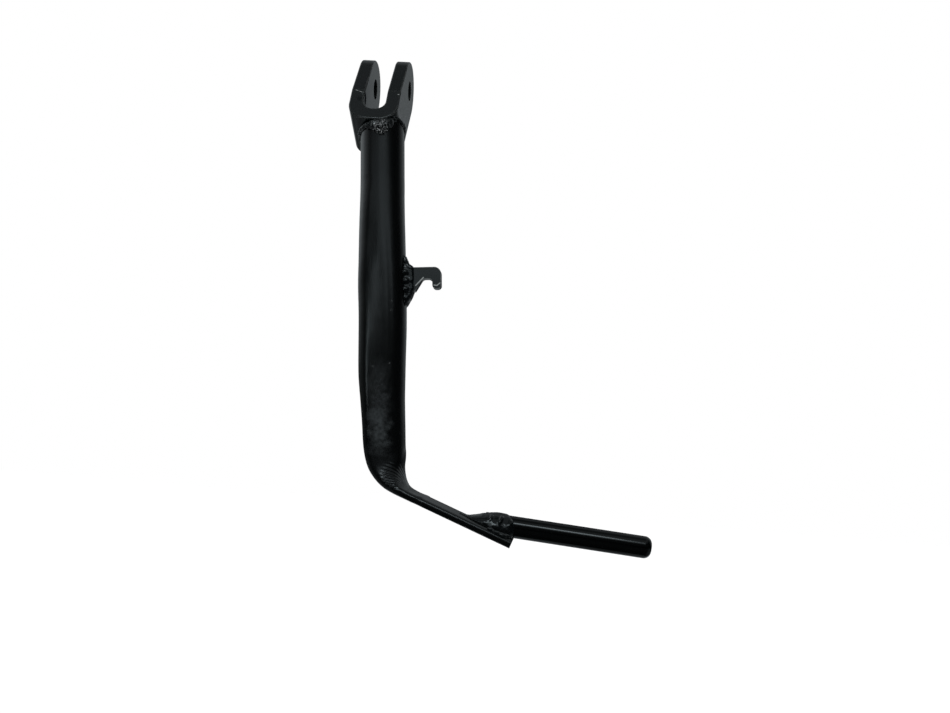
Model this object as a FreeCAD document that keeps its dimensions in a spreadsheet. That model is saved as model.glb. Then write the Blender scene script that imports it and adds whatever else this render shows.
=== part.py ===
import FreeCAD, Part
import math
import os
import re
import Sketcher

# Motorcycle side stand: a welded steel leg. A plate bent to a fork carries the pivot bolt, a round
# tube hangs from it, is pressed flat at its lower end and bent to a foot, and a round bar on the
# foot is pushed with the boot. A small hook on the tube holds the return spring.
# Frame: origin at the middle of the pivot, +X along the pivot bolt, +Y away from the viewer, +Z up.

os.makedirs("parts", exist_ok=True)
doc = FreeCAD.newDocument("SideStand")
Vec = FreeCAD.Vector

# Driving sizes in millimetres and degrees
sizes = [
    ("plate_thick", 8.0),        # fork plate
    ("slot_width", 13.0),        # gap between the ears, takes the lug on the frame
    ("bore_dia", 12.0),          # pivot hole
    ("ear_radius", 17.0),        # round end of each ear
    ("web_drop", 44.0),          # pivot to the outer face of the web
    ("web_front", 21.8),         # front edge of the web, ahead of the pivot
    ("web_back", 9.4),           # back edge of the web, behind the pivot
    ("web_edge_height", 22.0),   # straight part of the front edge, above it the ear tapers
    ("fork_bend", 11.0),         # outside of the bend between web and ear
    ("slot_round", 0.45),        # inside of that bend, as a share of the slot's width
    ("plate_edge_round", 0.9),
    ("fork_lean", 24.1),         # the ears lean back from the leg
    ("tube_dia", 25.4),
    ("tube_wall", 2.3),
    ("tube_x", 5.2),             # axis of the tube at the level of the web
    ("tube_y", -23.4),
    ("tube_z", -40.0),
    ("tube_lean", 5.0),          # the leg slants along the pivot axis
    ("cope_rise", 6.0),          # how far the tube's end reaches up beside the bend of the fork
    ("leg_run", 138.0),          # straight wall of the leg, from the level of the web
    ("ease_radius", 150.0),      # slow bend above the foot
    ("ease_turn", 5.5),
    ("ease_run", 26.4),
    ("bend_radius", 28.0),       # outer wall of the bend at the foot
    ("foot_slope", 20.3),        # foot below the level
    ("foot_run", 71.2),
    ("pinch_run", 14.0),         # over this length of the foot the walls close up
    ("sole_dressed", 0.1),       # taken off the sole so that it lies flat on the ground
    ("hook_thick", 5.0),
    ("hook_top", 75.0),          # along the leg, from the level of the web to the hook's top edge
    ("hook_reach", 33.8),        # from the tube's axis to the finger's outer edge
    ("hook_neck", 6.7),          # depth of the arm over the notch
    ("hook_finger", 5.0),
    ("hook_finger_drop", 12.6),
    ("notch_width", 5.4),
    ("hook_root_out", 19.05),     # the slanted edge meets the root here, from the tube's axis
    ("hook_root_drop", 13.6),
    ("hook_root_taper", 2.0),
    ("hook_corner", 4.0),
    ("finger_round", 2.05),
    ("notch_round", 2.4),
    ("bar_dia", 12.0),
    ("bar_slope", 4.0),
    ("bar_run", 73.0),           # from the foot's end to the tip
    ("bar_seat", 6.45),          # bar's axis over the foot's top face, at the foot's end
    ("bar_end_round", 4.0),
    ("bar_lap", 18.0),           # the bar's square end lies this far back on the foot
    ("fork_bead", 3.2),          # radius of the bead between fork and tube
    ("hook_bead_side", 2.0),     # bead beside the hook
    ("hook_bead_above", 7.0),
    ("hook_bead_below", 8.7),
    ("hook_bead_out", 5.6),
    ("hook_bead_thin", 0.9),     # thickness at the bead's ends
    ("mound_start", 1.0),        # weld on the foot: from here behind the foot's end
    ("mound_run", 32.0),         # and so far back, where it thins out
    ("mound_side", 10.2),        # half its width and its height at the thickest place
    ("mound_height", 10.4),
]
sheet = doc.addObject("Spreadsheet::Sheet", "Sizes")
for row, (alias, number) in enumerate(sizes, start=1):
    sheet.set("A%d" % row, alias)
    sheet.set("B%d" % row, str(number))
    sheet.setAlias("B%d" % row, alias)
doc.recompute()


def size(alias):
    return float(getattr(sheet, alias))


def bind(item, **expressions):
    # each property of the object follows an expression over the sheet's names
    for name, text in expressions.items():
        item.setExpression(name, text)


def withSheet(text):
    # puts the sheet's name before every alias in an expression
    return re.sub("[a-z_]+", lambda word: "Sizes." + word.group(0), text)


def originPlane(body, role):
    return next(plane for plane in body.Origin.OriginFeatures if plane.Role == role)


def newBody(name):
    return doc.addObject("PartDesign::Body", name)


def newSketch(body, name, role):
    sketch = body.newObject("Sketcher::SketchObject", name)
    sketch.AttachmentSupport = (originPlane(body, role), [""])
    sketch.MapMode = "FlatFace"
    return sketch


def pinPoint(sketch, edge, end, across, up):
    # holds one end of an edge at two distances from the sketch's origin
    for kind, text in (("DistanceX", across), ("DistanceY", up)):
        index = sketch.addConstraint(Sketcher.Constraint(kind, -1, 1, edge, end, 1.0))
        sketch.setExpression("Constraints[%d]" % index, withSheet(text))


def polygonSketch(sketch, corners, start):
    # closed outline, each corner given as two expressions; start holds the corners' first guess
    count = len(corners)
    for i in range(count):
        sketch.addGeometry(Part.LineSegment(Vec(*start[i], 0), Vec(*start[(i + 1) % count], 0)))
    for i in range(count):
        sketch.addConstraint(Sketcher.Constraint("Coincident", i, 2, (i + 1) % count, 1))
    for i, (across, up) in enumerate(corners):
        pinPoint(sketch, i, 1, across, up)


def edgesWhere(shape, test):
    return ["Edge%d" % (i + 1) for i, edge in enumerate(shape.Edges) if test(edge)]


def alongAxis(edge, axis):
    # straight edge that runs along one axis of the body
    ends = edge.Vertexes
    if len(ends) != 2 or edge.Curve.TypeId != "Part::GeomLine":
        return False
    run = ends[1].Point - ends[0].Point
    return abs(run.dot(axis)) > 0.999 * run.Length


# Fork: one plate bent to a U. The side outline of the ears is drawn first, the slot is cut from it,
# and the bends are rounded.
def makeFork():
    body = newBody("Fork")
    outline = newSketch(body, "EarOutline", "YZ_Plane")
    front, back, drop = size("web_front"), size("web_back"), size("web_drop")
    taper = size("web_edge_height")
    radius = size("ear_radius")
    outline.addGeometry([
        Part.LineSegment(Vec(-front, -drop, 0), Vec(back, -drop, 0)),
        Part.LineSegment(Vec(back, -drop, 0), Vec(radius, -2, 0)),
        Part.ArcOfCircle(Part.Circle(Vec(0, 0, 0), Vec(0, 0, 1), radius), -0.1, math.pi + 0.1),
        Part.LineSegment(Vec(-radius, -2, 0), Vec(-front, taper - drop, 0)),
        Part.LineSegment(Vec(-front, taper - drop, 0), Vec(-front, -drop, 0))])
    outline.addConstraint([
        Sketcher.Constraint("Coincident", 0, 2, 1, 1),
        Sketcher.Constraint("Tangent", 1, 2, 2, 1),
        Sketcher.Constraint("Tangent", 2, 2, 3, 1),
        Sketcher.Constraint("Coincident", 3, 2, 4, 1),
        Sketcher.Constraint("Coincident", 4, 2, 0, 1),
        Sketcher.Constraint("Coincident", 2, 3, -1, 1)])
    tip = outline.addConstraint(Sketcher.Constraint("Radius", 2, radius))
    outline.setExpression("Constraints[%d]" % tip, "Sizes.ear_radius")
    pinPoint(outline, 0, 1, "-web_front", "-web_drop")
    pinPoint(outline, 0, 2, "web_back", "-web_drop")
    pinPoint(outline, 4, 1, "-web_front", "web_edge_height - web_drop")
    block = body.newObject("PartDesign::Pad", "EarBlock")
    block.Profile = outline
    block.Midplane = True
    bind(block, Length=withSheet("slot_width + 2 * plate_thick"))

    slot = newSketch(body, "Slot", "XZ_Plane")
    half = size("slot_width") / 2
    floor = size("plate_thick") - drop
    polygonSketch(slot, [("-slot_width / 2", "plate_thick - web_drop"),
                         ("slot_width / 2", "plate_thick - web_drop"),
                         ("slot_width / 2", "2 * ear_radius"),
                         ("-slot_width / 2", "2 * ear_radius")],
                  [(-half, floor), (half, floor), (half, 2 * radius), (-half, 2 * radius)])
    cut = body.newObject("PartDesign::Pocket", "SlotCut")
    cut.Profile = slot
    cut.Type = "ThroughAll"
    cut.Midplane = True

    bore = newSketch(body, "Bore", "YZ_Plane")
    bore.addGeometry(Part.Circle(Vec(0, 0, 0), Vec(0, 0, 1), size("bore_dia") / 2))
    bore.addConstraint(Sketcher.Constraint("Coincident", 0, 3, -1, 1))
    across = bore.addConstraint(Sketcher.Constraint("Diameter", 0, size("bore_dia")))
    bore.setExpression("Constraints[%d]" % across, "Sizes.bore_dia")
    drill = body.newObject("PartDesign::Pocket", "PivotBore")
    drill.Profile = bore
    drill.Type = "ThroughAll"
    drill.Midplane = True
    doc.recompute()

    def bendEdge(level, side):
        def test(edge):
            middle = edge.CenterOfMass
            return (alongAxis(edge, Vec(0, 1, 0)) and abs(middle.z - level) < 0.01
                    and abs(abs(middle.x) - side) < 0.01)
        return test
    outer = body.newObject("PartDesign::Fillet", "OuterBend")
    outer.Base = (drill, edgesWhere(drill.Shape, bendEdge(-drop, half + size("plate_thick"))))
    bind(outer, Radius="Sizes.fork_bend")
    doc.recompute()
    inner = body.newObject("PartDesign::Fillet", "InnerBend")
    inner.Base = (outer, edgesWhere(outer.Shape, bendEdge(floor, half)))
    bind(inner, Radius=withSheet("slot_round * slot_width"))
    doc.recompute()

    # the sheared edges of the plate are broken all round each ear and along the bend
    def rimEdge(edge):
        first, last = edge.ParameterRange
        point = edge.valueAt((first + last) / 2)
        isHole = edge.Curve.TypeId == "Part::GeomCircle" and abs(edge.Curve.Radius - bore_radius) < 0.01
        return not alongAxis(edge, Vec(0, 1, 0)) and not alongAxis(edge, Vec(1, 0, 0)) and not isHole
    bore_radius = size("bore_dia") / 2
    edges = edgesWhere(inner.Shape, rimEdge)
    rim = body.newObject("PartDesign::Fillet", "BrokenEdges")
    rim.Base = (inner, edges)
    bind(rim, Radius="Sizes.plate_edge_round")
    body.Placement = FreeCAD.Placement(Vec(0, 0, 0), FreeCAD.Rotation(Vec(1, 0, 0), -size("fork_lean")))
    bind(body, **{"Placement.Rotation.Angle": "Sizes.fork_lean", "Placement.Rotation.Axis.x": "-1"})
    body.Tip = rim
    doc.recompute()
    return body


def legPlacement():
    turn = FreeCAD.Rotation(Vec(0, 1, 0), -size("tube_lean"))
    return FreeCAD.Placement(Vec(size("tube_x"), size("tube_y"), size("tube_z")), turn)


def placeOnLeg(item):
    # the leg's own axes: +X sideways, +Y away, -Z down along the tube, origin on its axis
    item.Placement = legPlacement()
    bind(item, **{"Placement.Base.x": "Sizes.tube_x", "Placement.Base.y": "Sizes.tube_y",
                  "Placement.Base.z": "Sizes.tube_z", "Placement.Rotation.Axis.x": "0",
                  "Placement.Rotation.Axis.y": "-1", "Placement.Rotation.Axis.z": "0",
                  "Placement.Rotation.Angle": "Sizes.tube_lean"})


def footTurn():
    # from the leg's direction to the foot's, in radians
    return math.pi / 2 - math.radians(size("tube_lean") + size("foot_slope"))


def outerWall(distance):
    # the leg's outer wall from the web down: straight, a slow bend, straight, the bend at the foot,
    # and the foot's sole. Gives the point in the leg's X and Z, and how far the wall has turned.
    x, z, heading = -size("tube_dia") / 2, 0.0, 0.0
    ease = math.radians(size("ease_turn"))
    pieces = [(size("leg_run"), 0.0), (None, ease), (size("ease_run"), 0.0),
              (None, footTurn() - ease), (size("foot_run"), 0.0)]
    radii = [0, size("ease_radius"), 0, size("bend_radius"), 0]
    left = distance
    for (run, angle), radius in zip(pieces, radii):
        length = run if run is not None else radius * angle
        part = min(left, length)
        if run is not None:
            x += part * math.sin(heading)
            z -= part * math.cos(heading)
        else:
            after = heading + part / radius
            x += radius * (math.cos(heading) - math.cos(after))
            z -= radius * (math.sin(after) - math.sin(heading))
            heading = after
        left -= part
        if left <= 0:
            break
    return Vec(x, 0, z), heading


def wallLengths():
    turn = math.radians(size("ease_turn"))
    ease = size("ease_radius") * turn
    bend = size("bend_radius") * (footTurn() - turn)
    easeStart = size("leg_run")
    bendStart = easeStart + ease + size("ease_run")
    return easeStart, bendStart, bendStart + bend, bendStart + bend + size("foot_run")


def pressedOutline(depth, corner, back, girth, inset):
    # Section of the pressed tube: the hull of two corner circles on the outer wall and one circle
    # on the inner wall. The girth of the round tube is kept, which gives the circles' distance.
    def pieces(half):
        reach = math.hypot(half, depth - back - corner)
        if reach < 1e-6:
            return 0.0, 0.0
        toward = math.atan2(depth - back - corner, -half)
        lean = toward - math.acos(max(-1.0, min(1.0, (corner - back) / reach)))
        return lean, math.sqrt(max(reach ** 2 - (corner - back) ** 2, 0.0))

    def around(half):
        lean, side = pieces(half)
        return 2 * (half + corner * (lean + math.pi / 2) + side + back * (math.pi / 2 - lean))
    low, high = 0.0, girth / 4
    for _ in range(60):
        middle = (low + high) / 2
        low, high = (middle, high) if around(middle) < girth else (low, middle)
    half = low
    lean, side = pieces(half)
    # the bore follows the same circles, smaller by the wall
    inner, innerBack = corner - inset, back - inset
    runs = [half, inner * (lean + math.pi / 2), side, innerBack * (math.pi / 2 - lean)]
    total = sum(runs)
    points = []
    steps = outline_steps
    for i in range(steps // 2 + 1):
        at = total * 2 * i / steps
        if at <= runs[0]:
            points.append((at, inset))
        elif at <= runs[0] + runs[1]:
            angle = -math.pi / 2 + (at - runs[0]) / inner
            points.append((half + inner * math.cos(angle), corner + inner * math.sin(angle)))
        elif at <= runs[0] + runs[1] + runs[2]:
            share = (at - runs[0] - runs[1]) / side
            first = (half + inner * math.cos(lean), corner + inner * math.sin(lean))
            last = (innerBack * math.cos(lean), depth - back + innerBack * math.sin(lean))
            points.append(tuple(a + (b - a) * share for a, b in zip(first, last)))
        else:
            angle = lean + (at - runs[0] - runs[1] - runs[2]) / max(innerBack, 1e-6)
            points.append((innerBack * math.cos(angle), depth - back + innerBack * math.sin(angle)))
    mirrored = [(-across, through) for across, through in reversed(points[1:-1])]
    return points + mirrored


outline_steps = 40

# How the press closes the tube: place along the wall as (stretch, share of it), depth between
# round (1) and flat (0), bulge of the outer wall as a share of the diameter, how far the corners
# are pressed, from round (0) to the flat's edge (1), and the inner wall's radius as a share of the
# tube's
press_stations = [
    ("leg", 0.16, 1.0, 0.0, 0.0, 1.0),
    ("leg", 0.22, 1.005, 0.003, 0.02, 0.99),
    ("leg", 0.32, 1.03, 0.020, 0.12, 0.97),
    ("leg", 0.42, 1.061, 0.033, 0.22, 0.94),
    ("leg", 0.52, 1.083, 0.040, 0.31, 0.90),
    ("leg", 0.62, 1.105, 0.046, 0.40, 0.87),
    ("leg", 0.71, 1.088, 0.028, 0.45, 0.86),
    ("leg", 0.82, 1.072, 0.020, 0.52, 0.85),
    ("leg", 0.91, 1.050, 0.018, 0.56, 0.85),
    ("leg", 1.00, 1.018, 0.004, 0.60, 0.85),
    ("ease", 0.36, 0.938, -0.028, 0.68, 0.85),
    ("ease", 0.68, 0.890, -0.025, 0.75, 0.84),
    ("ease", 1.00, 0.84, -0.022, 0.81, 0.82),
    ("bend", 0.33, 0.83, -0.016, 0.86, 0.80),
    ("bend", 0.66, 0.77, -0.006, 0.90, 0.78),
    ("bend", 0.84, 0.67, 0.0, 0.93, 0.76),
    ("bend", 1.00, 0.48, 0.0, 0.95, 0.76),
    ("pinch", 0.28, 0.21, 0.0, 0.975, 0.76),
    ("pinch", 0.52, 0.085, 0.0, 0.99, 0.76),
    ("pinch", 0.75, 0.03, 0.0, 1.0, 0.76),
    ("pinch", 1.00, 0.0, 0.0, 1.0, 0.76),
    ("foot", 0.08, 0.0, 0.0, 1.0, 0.76),
]
bored_stretches = ("leg", "ease", "bend")


def stationDistance(stretch, share):
    easeStart, bendStart, footStart, footEnd = wallLengths()
    pinchEnd = footStart + size("pinch_run")
    spans = {"leg": (0.0, easeStart), "ease": (easeStart, bendStart), "bend": (bendStart, footStart),
             "pinch": (footStart, pinchEnd), "foot": (pinchEnd, footEnd)}
    start, end = spans[stretch]
    return start + (end - start) * share


def pressedStation(station, inset):
    # one section of the pressed tube as a smooth closed wire, square to the outer wall
    stretch, share, depthShare, bulge, press, backShare = station
    diameter = size("tube_dia")
    flat = 2 * size("tube_wall")
    depth = flat + (diameter - flat) * depthShare
    corner = min(diameter / 2 + (flat - diameter) / 2 * press, depth / 2)
    back = min(diameter / 2 * backShare, depth / 2)
    distance = stationDistance(stretch, share)
    point, heading = outerWall(max(distance, 0.0))
    point.z -= min(distance, 0.0)
    inward = Vec(math.cos(heading), 0, math.sin(heading))
    start = point - inward * (bulge * diameter)
    outline = pressedOutline(depth, corner, back, math.pi * diameter, inset)
    places = [start + inward * through + Vec(0, across, 0) for across, through in outline]
    curve = Part.BSplineCurve()
    curve.interpolate(Points=places, PeriodicFlag=True,
                      Parameters=[i / outline_steps for i in range(outline_steps + 1)])
    return Part.Wire(curve.toShape())


def roundTube(inset):
    # the round part of the tube, from above the web down to the first pressed section
    reached = stationDistance(*press_stations[0][:2])
    up = Vec(0, 0, reached + size("tube_dia"))
    return Part.Face(pressedStation(press_stations[0], inset)).extrude(up)


def pressedTube():
    # outer form: round, a loft down to the closed flat, then the flat drawn on along the foot
    wires = [pressedStation(station, 0.0) for station in press_stations]
    footEnd = wallLengths()[3]
    reached = stationDistance(*press_stations[-1][:2])
    _, heading = outerWall(reached)
    along = Vec(math.sin(heading), 0, -math.cos(heading)) * (footEnd - reached)
    flat = Part.Face(wires[-1]).extrude(along)
    return Part.makeLoft(wires, True, False).fuse(flat).fuse(roundTube(0.0))


def tubeBore():
    # the bore ends where the walls meet inside the bend
    wires = [pressedStation(station, size("tube_wall")) for station in press_stations
             if station[0] in bored_stretches]
    return Part.makeLoft(wires, True, False).fuse(roundTube(size("tube_wall")))


def feature(name, shape):
    item = doc.addObject("Part::Feature", name)
    item.Shape = shape
    return item


def forkPlacement(along, up, margin=0.0):
    # a corner in the fork's own frame, in which the ears stand along Z and the plate lies along Y
    turn = FreeCAD.Rotation(Vec(1, 0, 0), -size("fork_lean"))
    side = size("slot_width") / 2 + size("plate_thick") + margin
    return FreeCAD.Placement(turn.multVec(Vec(-side, along, up)), turn)


def roundedBlock(name, margin, depth):
    # the outer form of the bent plate, grown by a margin, as a block that is long along the plate
    block = doc.addObject("Part::Box", name)
    reach = 3 * size("tube_dia")
    block.Placement = forkPlacement(-reach, -size("web_drop") - margin, margin)
    block.Length = size("slot_width") + 2 * size("plate_thick") + 2 * margin
    block.Width = 2 * reach
    block.Height = depth
    doc.recompute()
    corners = [i + 1 for i, edge in enumerate(block.Shape.Edges)
               if abs(edge.Length - 2 * reach) < 0.01 and
               block.Placement.inverse().multVec(edge.CenterOfMass).z < 1]
    bends = doc.addObject("Part::Fillet", name + "Bends")
    bends.Base = block
    radius = size("fork_bend") + margin
    bends.Edges = [(corner, radius, radius) for corner in corners]
    return bends


def soleBlock():
    # what the dressing takes off below the flat foot
    start, heading = outerWall(stationDistance("pinch", 1.0))
    along = Vec(math.sin(heading), 0, -math.cos(heading))
    up = Vec(math.cos(heading), 0, math.sin(heading))
    side = Vec(0, 2 * size("tube_dia"), 0)
    low = start - up * size("tube_dia")
    far = low + along * 2 * size("foot_run")
    below = Part.makePolygon([low - side, far - side, far + side, low + side, low - side])
    return Part.Face(below).extrude(up * (size("tube_dia") + size("sole_dressed")))


def makeLeg():
    pressed = feature("LegPressed", pressedTube())
    placeOnLeg(pressed)
    sole = feature("Sole", soleBlock())
    placeOnLeg(sole)
    outside = doc.addObject("Part::Cut", "LegOutside")
    outside.Base, outside.Tool = pressed, sole
    bore = feature("LegBore", tubeBore())
    placeOnLeg(bore)
    hollow = doc.addObject("Part::Cut", "LegHollow")
    hollow.Base, hollow.Tool = outside, bore

    # the tube's end is coped to the bent plate: a block with the fork's outer corners takes it away
    reach = 3 * size("tube_dia")
    bends = roundedBlock("CopeBlock", 0.0, reach)

    # beside the bend the tube's end stands up a little and is sawn level with the web
    above = doc.addObject("Part::Box", "CopeTop")
    above.Placement = FreeCAD.Placement(
        forkPlacement(-reach, size("cope_rise") - size("web_drop")).Base - Vec(reach, 0, 0),
        FreeCAD.Rotation(Vec(1, 0, 0), -size("fork_lean")))
    above.Length = 3 * reach
    above.Width = 2 * reach
    above.Height = reach
    tool = doc.addObject("Part::Fuse", "CopeTool")
    tool.Base, tool.Tool = bends, above
    leg = doc.addObject("Part::Cut", "LegTube")
    leg.Base, leg.Tool = hollow, tool
    doc.recompute()
    return leg, outside, tool


def makeHook(leg_outside):
    body = newBody("HookPlate")
    placeOnLeg(body)
    outline = newSketch(body, "HookOutline", "XZ_Plane")
    inside = size("tube_dia") / 4
    top = -size("hook_top")
    reach, finger = size("hook_reach"), size("hook_finger")
    tip = top - size("hook_finger_drop")
    neck = top - size("hook_neck")
    notch = reach - finger - size("notch_width")
    root = top - size("hook_root_drop")
    polygonSketch(outline, [("tube_dia / 4", "-hook_top"),
                            ("hook_reach", "-hook_top"),
                            ("hook_reach", "-hook_top - hook_finger_drop"),
                            ("hook_reach - hook_finger", "-hook_top - hook_finger_drop"),
                            ("hook_reach - hook_finger", "-hook_top - hook_neck"),
                            ("hook_reach - hook_finger - notch_width", "-hook_top - hook_neck"),
                            ("hook_root_out", "-hook_top - hook_root_drop"),
                            ("tube_dia / 4", "-hook_top - hook_root_drop - hook_root_taper")],
                  [(inside, top), (reach, top), (reach, tip), (reach - finger, tip),
                   (reach - finger, neck), (notch, neck), (size("hook_root_out"), root),
                   (inside, root - size("hook_root_taper"))])
    plate = body.newObject("PartDesign::Pad", "Plate")
    plate.Profile = outline
    plate.Midplane = True
    bind(plate, Length="Sizes.hook_thick")
    doc.recompute()

    def corner(base, name, radius, places):
        def test(edge):
            middle = edge.CenterOfMass
            return alongAxis(edge, Vec(0, 1, 0)) and any(
                math.hypot(middle.x - x, middle.z - z) < 0.01 for x, z in places)
        rounded = body.newObject("PartDesign::Fillet", name)
        rounded.Base = (base, edgesWhere(base.Shape, test))
        bind(rounded, Radius="Sizes." + radius)
        doc.recompute()
        return rounded
    last = corner(plate, "HookCorner", "hook_corner", [(reach, top)])
    last = corner(last, "FingerEnd", "finger_round", [(reach, tip), (reach - finger, tip)])
    last = corner(last, "NotchRound", "notch_round", [(reach - finger, neck), (notch, neck)])
    body.Tip = last
    hook = doc.addObject("Part::Cut", "SpringHook")
    hook.Base, hook.Tool = body, leg_outside
    doc.recompute()
    return hook


def makeHookWeld(leg_outside, hook):
    body = newBody("HookBead")
    placeOnLeg(body)
    outline = newSketch(body, "BeadOutline", "XZ_Plane")
    inside = size("tube_dia") / 4
    skin = size("tube_dia") / 2
    out = skin + size("hook_bead_out")
    top, root = -size("hook_top"), -size("hook_top") - size("hook_root_drop")
    rise, fall = size("hook_bead_above"), size("hook_bead_below")
    thin = skin + size("hook_bead_thin")
    polygonSketch(outline, [("tube_dia / 4", "hook_bead_above - hook_top"),
                            ("tube_dia / 2 + hook_bead_thin", "hook_bead_above - hook_top"),
                            ("tube_dia / 2 + hook_bead_out / 2", "hook_bead_above / 3 - hook_top"),
                            ("tube_dia / 2 + hook_bead_out", "-hook_top"),
                            ("tube_dia / 2 + hook_bead_out", "-hook_top - hook_root_drop"),
                            ("tube_dia / 2 + hook_bead_out * 2 / 3",
                             "-hook_top - hook_root_drop - hook_bead_below / 2"),
                            ("tube_dia / 2 + hook_bead_thin", "-hook_top - hook_root_drop - hook_bead_below"),
                            ("tube_dia / 4", "-hook_top - hook_root_drop - hook_bead_below")],
                  [(inside, top + rise), (thin, top + rise), ((skin + out) / 2, top + rise / 3),
                   (out, top), (out, root), ((skin + 2 * out) / 3, root - fall / 2),
                   (thin, root - fall), (inside, root - fall)])
    bead = body.newObject("PartDesign::Pad", "Bead")
    bead.Profile = outline
    bead.Midplane = True
    bind(bead, Length=withSheet("hook_thick + 2 * hook_bead_side"))
    doc.recompute()

    def outerEdge(edge):
        middle = edge.CenterOfMass
        return (not alongAxis(edge, Vec(0, 1, 0)) and middle.x > skin + 0.5
                and abs(middle.y) > size("hook_thick") / 2)
    soft = body.newObject("PartDesign::Fillet", "BeadRound")
    soft.Base = (bead, edgesWhere(bead.Shape, outerEdge))
    bind(soft, Radius=withSheet("hook_bead_side * 0.8"))
    body.Tip = soft
    offTube = doc.addObject("Part::Cut", "HookBeadOffTube")
    offTube.Base, offTube.Tool = body, leg_outside
    weld = doc.addObject("Part::Cut", "HookWeld")
    weld.Base, weld.Tool = offTube, hook
    doc.recompute()
    return weld


def footFrame():
    # on the foot's top face at its end: the middle point, the way along the foot, and up from it
    end, heading = outerWall(wallLengths()[3])
    up = Vec(math.cos(heading), 0, math.sin(heading))
    along = Vec(math.sin(heading), 0, -math.cos(heading))
    place = legPlacement()
    turn = place.Rotation
    return place.multVec(end + up * 2 * size("tube_wall")), turn.multVec(along), turn.multVec(up)


def footBelow():
    # everything under the foot's top face
    point, along, up = footFrame()
    side = size("foot_run") + size("bar_run")
    block = doc.addObject("Part::Box", "BelowFoot")
    block.Length = 2 * side
    block.Width = 4 * size("tube_dia")
    block.Height = side
    turn = FreeCAD.Rotation(along, Vec(0, 1, 0), up, "XYZ")
    corner = point - along * side - Vec(0, 2 * size("tube_dia"), 0) - up * side
    block.Placement = FreeCAD.Placement(corner, turn)
    return block


def makeToeBar(below):
    point, _, up = footFrame()
    slope = math.radians(size("bar_slope"))
    scarf = math.radians(size("foot_slope")) - slope
    along = Vec(math.cos(slope), 0, -math.sin(slope))
    tail = size("bar_lap") / math.cos(scarf)
    rod = doc.addObject("Part::Cylinder", "ToeRod")
    rod.Height = tail + size("bar_run")
    bind(rod, Radius=withSheet("bar_dia / 2"))
    rod.Placement = FreeCAD.Placement(point + up * size("bar_seat") - along * tail,
                                      FreeCAD.Rotation(Vec(0, 0, 1), along))
    doc.recompute()
    radius = min(size("bar_end_round"), 0.49 * size("bar_dia"))
    tip = rod.Placement.multVec(Vec(0, 0, rod.Height.Value))
    ends = [i + 1 for i, edge in enumerate(rod.Shape.Edges) if (edge.CenterOfMass - tip).Length < 0.01]
    domed = doc.addObject("Part::Fillet", "ToeRodEnd")
    domed.Base = rod
    domed.Edges = [(end, radius, radius) for end in ends]
    bar = doc.addObject("Part::Cut", "ToeBar")
    bar.Base, bar.Tool = domed, below
    doc.recompute()
    return bar


# The weld on the foot as sections from its front end to the back: place along its run, half width
# and height as shares of the greatest
mound_stations = [(0.0, 0.65, 0.69), (0.04, 0.85, 0.87), (0.13, 0.96, 1.0), (0.29, 1.0, 0.99),
                  (0.52, 0.94, 0.73), (0.75, 0.63, 0.29), (1.0, 0.25, 0.09)]


def makeBarWeld(below, bar):
    # a mound that covers the bar's square end and both its sides
    point, along, up = footFrame()
    wires = []
    for share, sideShare, heightShare in mound_stations:
        centre = point - along * (size("mound_start") + size("mound_run") * share)
        side = Vec(0, size("mound_side") * sideShare, 0)
        rise = up * (size("mound_height") * heightShare)
        turns = [2 * math.pi * i / outline_steps for i in range(outline_steps)]
        curve = Part.BSplineCurve()
        curve.interpolate(Points=[centre + side * math.cos(turn) + rise * math.sin(turn) for turn in turns],
                          PeriodicFlag=True, Parameters=[i / outline_steps for i in range(outline_steps + 1)])
        wires.append(Part.Wire(curve.toShape()))
    mound = feature("BarMound", Part.makeLoft(wires, True, False))
    offFoot = doc.addObject("Part::Cut", "BarMoundOffFoot")
    offFoot.Base, offFoot.Tool = mound, below
    weld = doc.addObject("Part::Cut", "BarWeld")
    weld.Base, weld.Tool = offFoot, bar
    doc.recompute()
    return weld


def makeForkWeld(cope_tool):
    # a collar round the tube's end, as high and as wide as the bead, its outer edge rounded
    bead = size("fork_bead")
    skin = doc.addObject("Part::Cylinder", "CollarSkin")
    skin.Height = 3 * size("tube_dia")
    bind(skin, Radius=withSheet("tube_dia / 2 + fork_bead"))
    start = FreeCAD.Placement(Vec(0, 0, -1.5 * size("tube_dia")), FreeCAD.Rotation())
    skin.Placement = legPlacement().multiply(start)
    around = doc.addObject("Part::Common", "ForkCollar")
    around.Base = skin
    around.Tool = roundedBlock("CollarBlock", bead, 3 * size("tube_dia"))
    doc.recompute()
    axis = legPlacement().inverse()
    lean = FreeCAD.Rotation(Vec(1, 0, 0), size("fork_lean"))

    def lowEdge(edge):
        first, last = edge.ParameterRange
        spots = [edge.valueAt(first + (last - first) * share) for share in (0.1, 0.5, 0.9)]
        onSkin = all(abs(math.hypot(*axis.multVec(spot)[:2]) - size("tube_dia") / 2 - bead) < 0.01
                     for spot in spots)
        top = size("cope_rise") - size("web_drop")
        return onSkin and all(lean.multVec(spot).z < top - 0.01 for spot in spots) and edge.Length > 0.1
    soft = doc.addObject("Part::Fillet", "ForkCollarRound")
    soft.Base = around
    soft.Edges = [(i + 1, 0.7 * bead, 0.7 * bead) for i, edge in enumerate(around.Shape.Edges)
                  if lowEdge(edge)]
    round_tube = feature("RoundTube", roundTube(0.0))
    placeOnLeg(round_tube)
    offTube = doc.addObject("Part::Cut", "ForkCollarOffTube")
    offTube.Base, offTube.Tool = soft, round_tube
    weld = doc.addObject("Part::Cut", "ForkWeld")
    weld.Base, weld.Tool = offTube, cope_tool
    doc.recompute()
    return weld


fork = makeFork()
leg, leg_outside, cope_tool = makeLeg()
hook = makeHook(leg_outside)
hook_weld = makeHookWeld(leg_outside, hook)
below_foot = footBelow()
toe_bar = makeToeBar(below_foot)
bar_weld = makeBarWeld(below_foot, toe_bar)
fork_weld = makeForkWeld(cope_tool)

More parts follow.
